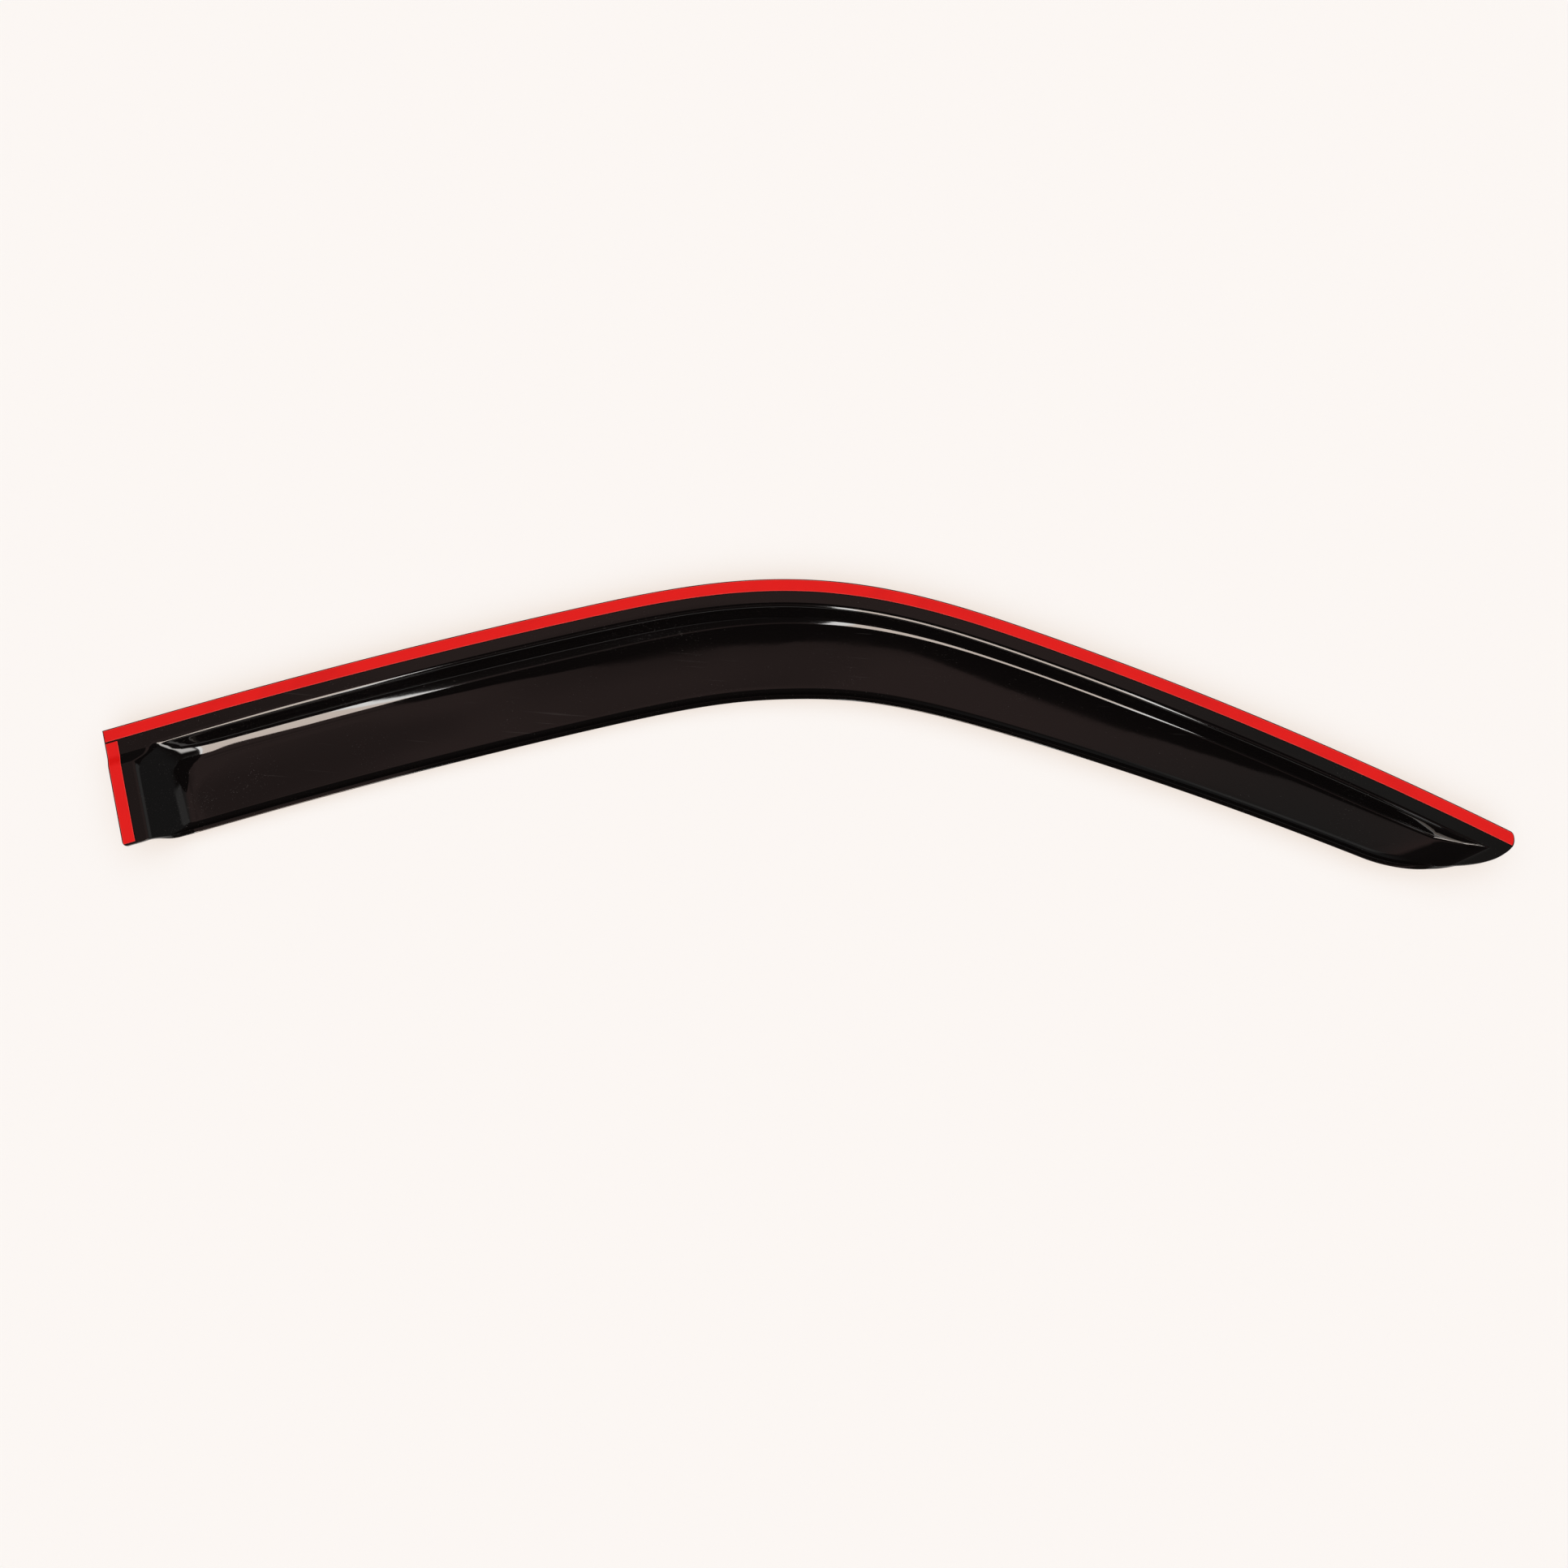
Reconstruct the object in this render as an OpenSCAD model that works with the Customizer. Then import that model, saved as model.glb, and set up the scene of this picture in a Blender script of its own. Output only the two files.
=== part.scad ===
// Window rain deflector for one car door, lying with its door side up.
// One formed sheet of smoked acrylic with a strip of foam tape and a liner along its upper
// edge, and another down its rear end. +X runs from the rear end to the tip, +Y to the side
// of the upper edge, +Z to the door. Stations are measured along the upper edge from the
// rear corner, and widths square to that edge.

/* [Outline] */
// Length of the upper edge, measured along its curve
edge_length = 962; // [860:1:1040]
// Radius of the long, slightly bowed rear arm
rear_arm_radius = 4400; // [3000:50:9000]
// Radius of the slightly bowed front arm
front_arm_radius = 2580; // [1800:20:6000]
// Station of the middle of the bend
bend_station = 476; // [430:1:520]
// Length of the upper edge that the bend takes up
bend_length = 353; // [260:1:400]
// Turn of the upper edge in the bend, in degrees
bend_turn = 28; // [10:0.5:36]
// Width of the rear arm, flange included
rear_width = 80.5; // [74:0.5:92]
// Width of the front arm where the nose begins
nose_width = 57.2; // [52:0.2:66]
// Station where the front arm starts to narrow
taper_station = 468; // [440:1:540]

/* [Nose and rear end] */
// Length of the rounded nose, back from the tip
nose_length = 80; // [65:1:100]
// Fullness of the nose outline, where less is fuller
nose_taper = 0.75; // [0.65:0.05:1]
// Width of the blunt end of the tip
tip_width = 9.4; // [8.8:0.1:14]
// Forward lean of the tip end, as travel along the edge for each mm of width
tip_lean = 0.37; // [0.1:0.01:0.5]
// Bulge of the tip end beyond a straight line
tip_bulge = 1.4; // [0:0.1:2]
// Rounding of the upper corner of the tip
tip_rounding = 1.5; // [0.8:0.1:2]
// Backward lean of the rear end, as travel along the edge for each mm of width
rear_lean = 0.03; // [0:0.005:0.06]
// Rounding of the lower corner of the rear end
rear_rounding = 3; // [1:0.5:5]
// Width of the flat flange at the rear end
end_flange = 15.5; // [13:0.5:20]
// How far the end flange reaches below the blade
end_flange_drop = 2.2; // [0:0.1:3]
// Step of the end flange toward the door
joggle_step = 2; // [0:0.25:3]
// Distance of the middle of that step from the upper edge
joggle_place = 22.4; // [20:0.2:28]
// Length over which the end flange steps
joggle_length = 8; // [6:0.5:12]

/* [Section] */
// Thickness of the acrylic sheet
sheet = 3; // [2:0.1:3.5]
// Width of the flat flange along the upper edge
top_flange = 15.8; // [15:0.2:20]
// Inside radius of the crease between flange and shoulder
crease_radius = 4; // [4:0.5:7]
// Steepness of the shoulder, in degrees from the flange
shoulder_angle = 56; // [50:1:62]
// Straight length of the shoulder
shoulder_run = 8.2; // [4:0.2:9]
// Inside radius of the hollow bend between shoulder and blade
hollow_radius = 15; // [10:0.5:18]
// Steepness of the blade where it leaves the hollow bend, in degrees
blade_angle = 10.6; // [6:0.2:14]
// Inside radius of the curled lower edge
curl_radius = 7; // [5:0.5:8]
// Turn of the curled lower edge, in degrees
curl_angle = 65; // [50:1:72]
// Depth of the front arm as a share of the rear arm's
front_depth = 0.82; // [0.7:0.01:1]
// Depth left where the nose wall starts, as a share of the front arm's
nose_depth = 0.5; // [0.4:0.05:0.7]

/* [End walls] */
// Steepness of the foot of the wall that closes the rear end, in degrees
rear_wall_angle = 40; // [32:1:48]
// Steepness of the foot of the wall that closes the nose, in degrees
nose_wall_angle = 38; // [30:1:46]
// Length of the rounding at the foot of both end walls
wall_foot = 5; // [4.5:0.5:8]
// Start of the slanted corner between shoulder and rear wall, along the upper crease
corner_along = 14.7; // [6:0.1:20]
// Start of that corner, down the crease of the end flange
corner_down = 10.2; // [5:0.1:14]
// Distance of the upper corner of the nose wall from the tip
nose_foot = 8; // [7:0.5:14]
// Slant of the foot of the nose wall, in degrees from square to the upper edge
nose_foot_slant = 38.8; // [30:1:45]
// Stretch before the nose wall along which the depth fades
nose_fade = 110; // [80:5:160]

/* [Tape] */
// Width of the foam tape and its liner
tape_width = 8; // [6:0.5:10]
// Thickness of the foam tape
foam_thickness = 0.8; // [0.5:0.1:1.2]
// Thickness of the peel-off liner
liner_thickness = 0.2; // [0.1:0.05:0.3]
// Distance of the tape from the edges of the flanges
tape_inset = 0.5; // [0.5:0.1:1.5]
// Gap between the two strips of tape
tape_gap = 1.2; // [0.5:0.1:3]
// Distance of the lower end of the end strip from the rounded corner of its flange
end_tape_margin = 0.3; // [0.1:0.1:3]

/* [Hidden] */

smoked_acrylic = "#171415";
foam_grey = "#3a3838";
liner_red = "#e6231f";

// Sizes of the section that follow from the driving dimensions
crease_reach = crease_radius * sin(shoulder_angle);
crease_drop = crease_radius * (1 - cos(shoulder_angle));
run_reach = shoulder_run * cos(shoulder_angle);
run_drop = shoulder_run * sin(shoulder_angle);
hollow_reach = hollow_radius * (sin(shoulder_angle) - sin(blade_angle));
hollow_drop = hollow_radius * (cos(blade_angle) - cos(shoulder_angle));
shoulder_reach = crease_reach + run_reach + hollow_reach;
shoulder_drop = crease_drop + run_drop + hollow_drop;
curl_reach = (curl_radius + sheet) * sin(curl_angle);
least_blade = 4;
full_reach = shoulder_reach + least_blade + curl_reach;

// Stations and shares that shape the bend, the taper and the nose
nose_station = edge_length - nose_length;
taper_softness = 25;
lean_fade = 60;
narrow_share = 0.75;
wall_sharpness = 2.2;
wall_growth = 18;
wall_zone = 30;
drop_fade = 30;
degrees_per_radian = 180 / PI;

// Numbers of steps that set how fine the mesh is
crease_steps = 5;
hollow_steps = 6;
blade_steps = 6;
curl_steps = 6;
corner_steps = 3;
wall_steps = 14;
rear_steps = 10;
bend_steps = 22;
front_steps = 11;
nose_steps = 30;
tip_steps = 2;

// Smooth rises from 0 to 1, the first with a gentle start and end, the second gentler still
function clamp01(x) = min(1, max(0, x));
function rise3(x) = let (c = clamp01(x)) c * c * (3 - 2 * c);
function rise5(x) = let (c = clamp01(x)) c * c * c * (10 - 15 * c + 6 * c * c);
// Bend from flat to a slope of 1, rounded over the given softness
function soft_ramp(x, softness) = (x + sqrt(x * x + softness * softness)) / 2;
// Drop of a quarter circle of the given radius, at a distance from its flat end
function round_drop(x, radius) = let (c = max(0, radius - x)) radius - sqrt(radius * radius - c * c);
// Lesser of two depths, with the valley between them rounded
function lesser(a, b) = min(a, b) <= 0 ? 0 :
    a * b / pow(pow(a, wall_sharpness) + pow(b, wall_sharpness), 1 / wall_sharpness);

// Stations of the rings of the mesh, closer together where the form changes quickly
bend_start = bend_station - bend_length / 2;
bend_end = bend_station + bend_length / 2;
wall_end = end_flange + wall_zone;
tip_start = edge_length - tip_rounding;
function steps(first, last, count) = [for (i = [1:count]) first + (last - first) * i / count];
stations = concat(
    [for (i = [0:corner_steps]) rear_rounding * (1 - cos(90 * i / corner_steps))],
    [(rear_rounding + end_flange) / 2, end_flange],
    steps(end_flange, wall_end, wall_steps),
    steps(wall_end, bend_start, rear_steps),
    steps(bend_start, bend_end, bend_steps),
    steps(bend_end, nose_station, front_steps),
    steps(nose_station, tip_start, nose_steps),
    [for (i = [1:tip_steps]) tip_start + tip_rounding * sin(90 * i / tip_steps)]
);
ring_count = len(stations);

// Heading of the upper edge at a station, in degrees
function heading(s) =
    let (c = max(s, wall_end))
    - degrees_per_radian * min(c, bend_station) / rear_arm_radius
    - degrees_per_radian * max(c - bend_station, 0) / front_arm_radius
    - bend_turn * rise5((c - bend_start) / bend_length);
function stride(a, b) = let (h = heading((a + b) / 2)) (b - a) * [cos(h), sin(h)];
edge_path = [
    for (i = 0, p = [0, 0]; i < ring_count; p = p + stride(stations[i], stations[min(i + 1, ring_count - 1)]), i = i + 1) p
];
edge_x = [for (i = [0:ring_count - 1]) [stations[i], edge_path[i].x]];
edge_y = [for (i = [0:ring_count - 1]) [stations[i], edge_path[i].y]];
chord_angle = atan2(edge_path[ring_count - 1].y, edge_path[ring_count - 1].x);

// Slant of a ring at a station, as travel along the edge for each mm of width
function lean(s) =
    tip_lean * pow(clamp01((s - nose_station) / nose_length), 2)
    - rear_lean * (1 - rise3((s - end_flange) / lean_fade));
// Travel along the edge that makes the tip end bulge
function bulge(s, t) =
    let (u = clamp01(t / tip_width))
    4 * tip_bulge * u * (1 - u) * pow(clamp01((s - nose_station) / nose_length), 6);
// Place in plan of a point at a station and a distance from the upper edge
function in_plan(s, t) =
    let (h = heading(s) - chord_angle, x = lookup(s, edge_x), y = lookup(s, edge_y))
    let (along = lean(s) * t + bulge(s, t))
    [
        x * cos(chord_angle) + y * sin(chord_angle) + along * cos(h) + t * sin(h),
        y * cos(chord_angle) - x * sin(chord_angle) + along * sin(h) - t * cos(h)
    ];

// Width of the part at a station
function arm_width(s) =
    rear_width - (rear_width - nose_width) * soft_ramp(s - taper_station, taper_softness)
    / soft_ramp(nose_station - taper_station, taper_softness);
function width_at(s) =
    let (w = arm_width(s), tip = pow(tip_width / arm_width(edge_length), 1 / nose_taper))
    w * pow(1 - (1 - tip) * pow(clamp01((s - nose_station) / nose_length), 2), nose_taper)
    + end_flange_drop * (1 - rise3((s - end_flange + rear_rounding) / drop_fade))
    - round_drop(s, rear_rounding);
// Start of the flange at a station, which is the upper edge but for the tip's corner
function start_at(s) = round_drop(edge_length - s, tip_rounding);

// Depth of the bulge at a station, as a share of the rear arm's
foot_station = edge_length - nose_foot - tip_lean * top_flange;
function nose_share(s) = 1 - (1 - nose_depth) * pow(clamp01(1 - (foot_station - s) / nose_fade), 2);
function depth_share(s) = (1 - (1 - front_depth) * rise3((s - bend_start) / bend_length)) * nose_share(s);

// Section at a station before the end walls cut into it: distances from the edge, and depths
function shoulder_points() = concat(
    [
        for (i = [0:crease_steps])
        let (a = shoulder_angle * i / crease_steps)
        crease_radius * [sin(a), 1 - cos(a)]
    ],
    [
        for (i = [0:hollow_steps])
        let (a = shoulder_angle + (blade_angle - shoulder_angle) * i / hollow_steps)
        [crease_reach + run_reach, crease_drop + run_drop]
        + hollow_radius * [sin(shoulder_angle) - sin(a), cos(a) - cos(shoulder_angle)]
    ]
);
function section(s) =
    let (
        w = width_at(s),
        flange = min(top_flange, narrow_share * w),
        squeeze = min(1, (w - flange) / full_reach),
        depth = depth_share(s) * squeeze,
        blade = (w - flange) / squeeze - shoulder_reach - curl_reach,
        rise = blade * tan(blade_angle) / 2,
        crown = shoulder_drop + rise,
        curl = nose_share(s) * squeeze
    )
    concat(
        [[start_at(s), 0], [(start_at(s) + flange) / 2, 0]],
        [for (p = shoulder_points()) [flange + squeeze * p.x, depth * p.y]],
        [
            for (i = [1:blade_steps])
            let (u = i / blade_steps)
            [flange + squeeze * (shoulder_reach + u * blade), depth * (shoulder_drop + rise * u * (2 - u))]
        ],
        [
            for (i = [1:curl_steps])
            let (a = curl_angle * i / curl_steps)
            [
                flange + squeeze * (shoulder_reach + blade + curl_radius * sin(a)),
                depth * crown - curl * curl_radius * (1 - cos(a))
            ]
        ]
    );

// Depth that an end wall allows at a distance inside its foot, steeper as it gets deeper
function wall_depth(x, angle) =
    let (d = tan(angle) * (x < 0 ? 0 : x < wall_foot ? x * x / (2 * wall_foot) : x - wall_foot / 2))
    d * (1 + pow(d / wall_growth, 2));
function corner_wall(s, t) =
    wall_depth(
        ((s - end_flange) / corner_along + (t - top_flange) / corner_down - 1)
        * corner_along * corner_down / norm([corner_along, corner_down]),
        rear_wall_angle
    );
function nose_wall(s, t) =
    let (place = s + lean(s) * t)
    wall_depth(
        (edge_length - nose_foot - place) * cos(nose_foot_slant) + (top_flange - t) * sin(nose_foot_slant),
        nose_wall_angle
    );
// Step of the end flange toward the door, which dies out in the rear wall
function joggle(s, t) =
    joggle_step * rise3((t - joggle_place) / joggle_length + 0.5) * (1 - rise3((s - end_flange) / wall_zone));
function rear_wall(s, t) = lesser(wall_depth(s - end_flange, rear_wall_angle), corner_wall(s, t));
function depth_at(s, t, depth) = lesser(lesser(depth, rear_wall(s, t)), nose_wall(s, t)) - joggle(s, t);

// Grid of points on the door side of the sheet, and the other face a sheet's thickness away
inner_grid = [
    for (s = stations)
    [
        for (p = section(s))
        let (place = in_plan(s, p.x))
        [place.x, place.y, -depth_at(s, p.x, p.y)]
    ]
];
column_count = len(inner_grid[0]);
function slope(g, i, j) =
    let (i0 = max(i - 1, 0), i1 = min(i + 1, len(g) - 1), j0 = max(j - 1, 0), j1 = min(j + 1, len(g[0]) - 1))
    cross(g[i][j1] - g[i][j0], g[i1][j] - g[i0][j]);
outer_grid = [
    for (i = [0:ring_count - 1])
    [
        for (j = [0:column_count - 1])
        let (n = slope(inner_grid, i, j))
        inner_grid[i][j] - sheet * n / norm(n)
    ]
];

// The part stands on its lowest point, with the middle of its box over the origin
all_points = concat([for (ring = inner_grid) each ring], [for (ring = outer_grid) each ring]);
x_values = [for (p = all_points) p.x];
y_values = [for (p = all_points) p.y];
z_values = [for (p = all_points) p.z];
to_origin = [
    -(min(x_values) + max(x_values)) / 2,
    -(min(y_values) + max(y_values)) / 2,
    -min(z_values)
];

// Closed solid between two grids of points, the first of them on top
module slab(top, bottom) {
    rings = len(top);
    columns = len(top[0]);
    points = concat([for (ring = top) each ring], [for (ring = bottom) each ring]);
    function up(i, j) = i * columns + j;
    function down(i, j) = (rings + i) * columns + j;
    function pair(a, b, c, d) = [[a, b, c], [a, c, d]];
    last = columns - 1;
    end = rings - 1;
    faces = concat(
        [for (i = [0:end - 1], j = [0:last - 1]) each pair(up(i, j), up(i + 1, j), up(i + 1, j + 1), up(i, j + 1))],
        [for (i = [0:end - 1], j = [0:last - 1]) each pair(down(i, j), down(i, j + 1), down(i + 1, j + 1), down(i + 1, j))],
        [for (i = [0:end - 1]) each pair(up(i, 0), down(i, 0), down(i + 1, 0), up(i + 1, 0))],
        [for (i = [0:end - 1]) each pair(up(i, last), up(i + 1, last), down(i + 1, last), down(i, last))],
        [for (j = [0:last - 1]) each pair(up(0, j), up(0, j + 1), down(0, j + 1), down(0, j))],
        [for (j = [0:last - 1]) each pair(up(end, j), down(end, j), down(end, j + 1), up(end, j + 1))]
    );
    polyhedron(points = points, faces = faces);
}

module visor_shell() {
    color(smoked_acrylic)
    translate(to_origin)
    slab(inner_grid, outer_grid);
}

// Strip along the upper edge, between two heights above the flange
tape_far = tape_inset + tape_width;
tape_stations = concat(
    [tape_inset],
    [for (s = stations) if (s > rear_rounding && s < tip_start - tape_inset) s],
    [edge_length - tape_inset]
);
module top_strip(low, high) {
    outline = concat(
        [for (s = tape_stations) in_plan(s, tape_inset)],
        [for (i = [len(tape_stations) - 1:-1:0]) in_plan(tape_stations[i], tape_far)]
    );
    translate(to_origin + [0, 0, low])
    linear_extrude(high - low)
    polygon(outline);
}

// Strip down the end flange, which bends over its step
end_tape_start = tape_far + tape_gap;
end_tape_end = width_at(tape_inset) - sheet * sin(curl_angle) - end_tape_margin;
end_columns = concat(
    [end_tape_start],
    [for (p = section(end_flange)) if (p.x > end_tape_start && p.x < end_tape_end) p.x],
    [end_tape_end]
);
module end_strip(low, high) {
    function layer(height) = [
        for (s = [tape_inset, tape_far])
        [
            for (t = end_columns)
            let (place = in_plan(s, t))
            [place.x, place.y, joggle(s, t) + height]
        ]
    ];
    translate(to_origin)
    slab(layer(high), layer(low));
}

module top_tape() {
    color(foam_grey)
    top_strip(0, foam_thickness);
}

module top_tape_liner() {
    color(liner_red)
    top_strip(foam_thickness, foam_thickness + liner_thickness);
}

module end_tape() {
    color(foam_grey)
    end_strip(0, foam_thickness);
}

module end_tape_liner() {
    color(liner_red)
    end_strip(foam_thickness, foam_thickness + liner_thickness);
}

visor_shell();
top_tape();
top_tape_liner();
end_tape();
end_tape_liner();
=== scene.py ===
"""Rain deflector of a car door window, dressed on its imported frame.

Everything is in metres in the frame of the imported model: +X from the rear end to the tip,
+Y to the side of the upper edge, +Z toward the door. Stations are measured along the upper
edge from the rear corner, and widths square to that edge.
"""

import math

import bpy
import numpy as np
from bpy.props import FloatProperty, FloatVectorProperty, PointerProperty
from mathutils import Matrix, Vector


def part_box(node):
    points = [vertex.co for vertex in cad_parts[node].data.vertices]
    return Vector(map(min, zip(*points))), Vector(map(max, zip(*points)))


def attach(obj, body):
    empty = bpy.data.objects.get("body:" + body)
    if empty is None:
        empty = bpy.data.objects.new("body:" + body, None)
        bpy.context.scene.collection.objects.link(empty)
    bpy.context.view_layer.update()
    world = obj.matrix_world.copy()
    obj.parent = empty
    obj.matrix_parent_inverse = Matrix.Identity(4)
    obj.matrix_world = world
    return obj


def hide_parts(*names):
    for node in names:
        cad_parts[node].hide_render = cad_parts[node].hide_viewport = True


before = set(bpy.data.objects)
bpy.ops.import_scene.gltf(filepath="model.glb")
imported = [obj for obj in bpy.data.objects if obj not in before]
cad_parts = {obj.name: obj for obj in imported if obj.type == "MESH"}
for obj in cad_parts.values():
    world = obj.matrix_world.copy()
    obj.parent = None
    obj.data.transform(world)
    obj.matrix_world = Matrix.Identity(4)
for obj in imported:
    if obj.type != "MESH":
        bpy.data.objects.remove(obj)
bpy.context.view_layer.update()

bl_info = {
    "name": "Window rain deflector",
    "version": (1, 0, 0),
    "blender": (4, 5, 0),
    "location": "3D View > Sidebar > Deflector",
    "description": "Builds a smoked rain deflector for a car door window, with its tape",
    "category": "Object",
}

MM = 0.001

# Steps of the mesh: along the traced upper edge, across a section and round its rolled rim
EDGE_STEPS = 4000
FLANGE_STEPS = 6
CREASE_STEPS = 14
SHOULDER_STEPS = 4
HOLLOW_STEPS = 18
BLADE_STEPS = 14
CURL_STEPS = 14
RIM_STEPS = 4

# Points next to the rim: at this share of the flange, and this turn of the curl in radians
NEAR_RIM = 0.02


# Sizes and colours that a user would change

def length(name, default, description):
    """Length whose default is given in millimetres"""
    return FloatProperty(
        name=name, description=description, default=default * MM, precision=5, unit="LENGTH")


def angle(name, default, description):
    """Angle whose default is given in degrees"""
    return FloatProperty(
        name=name, description=description, default=math.radians(default), subtype="ANGLE")


def ratio(name, default, description):
    """Plain number"""
    return FloatProperty(name=name, description=description, default=default, precision=3)


def colour(name, default, description):
    """Colour in linear values"""
    return FloatVectorProperty(
        name=name, description=description, default=default, subtype="COLOR", min=0, max=1)


class DEFLECTOR_PG_visor(bpy.types.PropertyGroup):
    """Sizes of the formed acrylic sheet"""
    edge_length: length("Upper edge", 962, "Length of the upper edge, measured along its curve")
    rear_arm_radius: length("Rear arm radius", 4400, "Radius of the slightly bowed rear arm")
    front_arm_radius: length("Front arm radius", 2580, "Radius of the slightly bowed front arm")
    bend_station: length("Bend station", 476, "Station of the middle of the bend")
    bend_length: length("Bend length", 353, "Length of the upper edge that the bend takes up")
    bend_turn: angle("Bend turn", 28, "Turn of the upper edge in the bend")
    rear_width: length("Rear width", 80.5, "Width of the rear arm, flange included")
    nose_width: length("Nose width", 57.2, "Width of the front arm where the nose begins")
    taper_station: length("Taper station", 468, "Station where the front arm starts to narrow")
    taper_softness: length("Taper softness", 25, "Length over which that narrowing sets in")
    nose_length: length("Nose length", 80, "Length of the rounded nose, back from the tip")
    nose_taper: ratio("Nose taper", 0.75, "Fullness of the nose outline, where less is fuller")
    tip_width: length("Tip width", 9.4, "Width of the blunt end of the tip")
    tip_lean: ratio("Tip lean", 0.37, "Forward travel of the tip end for each unit of width")
    tip_bulge: length("Tip bulge", 1.4, "Bulge of the tip end beyond a straight line")
    tip_rounding: length("Tip rounding", 1.5, "Rounding of the upper corner of the tip")
    rear_lean: ratio("Rear lean", 0.03, "Backward travel of the rear end for each unit of width")
    lean_fade: length("Lean fade", 60, "Length over which the rear end's lean dies out")
    rear_rounding: length("Rear rounding", 3, "Rounding of the lower corner of the rear end")
    end_flange: length("End flange", 15.5, "Width of the flat flange at the rear end")
    end_flange_drop: length("End flange drop", 2.2, "How far the end flange reaches below the blade")
    drop_fade: length("Drop fade", 30, "Length over which that reach dies out")
    joggle_step: length("Joggle step", 2, "Step of the end flange toward the door")
    joggle_place: length("Joggle place", 22.4, "Distance of the middle of that step from the upper edge")
    joggle_length: length("Joggle length", 8, "Length over which the end flange steps")
    sheet: length("Sheet", 3, "Thickness of the acrylic sheet")
    top_flange: length("Top flange", 16, "Width of the flat flange along the upper edge")
    narrow_share: ratio("Narrow share", 0.75, "Most of the width that the flange may take up near the tip")
    crease_radius: length("Crease radius", 3.5, "Radius of the crease between flange and shoulder")
    shoulder_angle: angle("Shoulder angle", 62, "Steepness of the shoulder")
    shoulder_run: length("Shoulder run", 7.8, "Straight length of the rear arm's shoulder")
    front_run: length("Front run", 9, "Straight length of the front arm's shoulder")
    hollow_radius: length("Hollow radius", 14, "Radius of the rear arm's hollow bend")
    front_hollow: length("Front hollow", 3.5, "Radius of the front arm's hollow bend")
    blade_angle: angle("Blade angle", 4, "Steepness of the blade where it leaves the hollow bend")
    least_blade: length("Least blade", 4, "Length of blade that stays before the section is squeezed")
    curl_radius: length("Curl radius", 6.5, "Radius of the curled lower edge")
    curl_angle: angle("Curl angle", 78, "Turn of the curled lower edge")
    nose_depth: ratio("Nose depth", 0.76, "Depth left at the nose wall, as a share of the front arm's")
    rear_wall_angle: angle("Rear wall angle", 40, "Steepness of the foot of the rear end wall")
    nose_wall_angle: angle("Nose wall angle", 38, "Steepness of the foot of the nose wall")
    wall_foot: length("Wall foot", 5, "Length of the rounding at the foot of both end walls")
    wall_growth: length("Wall growth", 18, "Depth over which the end walls grow steeper")
    wall_zone: length("Wall zone", 30, "Length that the rear wall takes up")
    wall_sharpness: ratio("Wall sharpness", 2.2, "Sharpness of the valleys between walls and bulge")
    corner_along: length("Corner along", 14.7, "Start of the slanted corner, along the upper crease")
    corner_down: length("Corner down", 10.2, "Start of that corner, down the end crease")
    nose_foot: length("Nose foot", 8, "Distance of the upper corner of the nose wall from the tip")
    nose_foot_slant: angle("Nose foot slant", 38.8, "Slant of the foot of the nose wall")
    nose_fade: length("Nose fade", 110, "Stretch before the nose wall along which the depth fades")
    rim: length("Rim rounding", 0.18, "Rounding of the cut rim of the sheet")
    low_rim: length("Lower rim rounding", 0.5, "Rounding of the rim along the lower edge")


class DEFLECTOR_PG_tape(bpy.types.PropertyGroup):
    """Sizes of the tape"""
    width: length("Tape width", 7.7, "Width of the foam tape and its liner")
    foam: length("Foam", 0.8, "Thickness of the foam tape")
    liner: length("Liner", 0.2, "Thickness of the peel-off liner")
    inset: length("Inset", 0.85, "Distance of the tape from the edges of the flanges")
    gap: length("Gap", 1.2, "Gap between the two strips of tape")
    end_margin: length("End margin", 0.3, "Distance of the end strip from the rounded corner of its flange")
    wander: length("Wander", 0.1, "Unevenness of the long cut edges")
    foam_rim: length("Foam rim", 0.14, "Rounding of the edges of the foam")
    liner_rim: length("Liner rim", 0.06, "Rounding of the edges of the liner")


class DEFLECTOR_PG_finish(bpy.types.PropertyGroup):
    """Colours of the finishes"""
    acrylic: colour("Acrylic", (0.0034, 0.0027, 0.0026), "Smoked acrylic")
    dust: colour("Dust", (0.05, 0.045, 0.042), "Fine dust on the acrylic")
    foam: colour("Foam", (0.035, 0.030, 0.030), "Foam of the tape")
    # Painted shade in the pits of the open foam cells
    foam_pit_shade: colour("Foam cells", (0.016, 0.014, 0.014), "Open cells in the foam")
    liner: colour("Liner", (0.77, 0.0045, 0.0030), "Red peel-off liner")
    # Darker red for random darker passages of the liner, and painted shade in a line beside its cut edges
    liner_tone_and_shade: colour("Liner shade", (0.68, 0.0030, 0.0025), "Darker passages of the liner")
    # Painted highlight: paler red along the cut edges of the liner
    liner_edge_highlight: colour("Liner edge", (0.88, 0.05, 0.04), "Paler cut edges of the liner")


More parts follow.
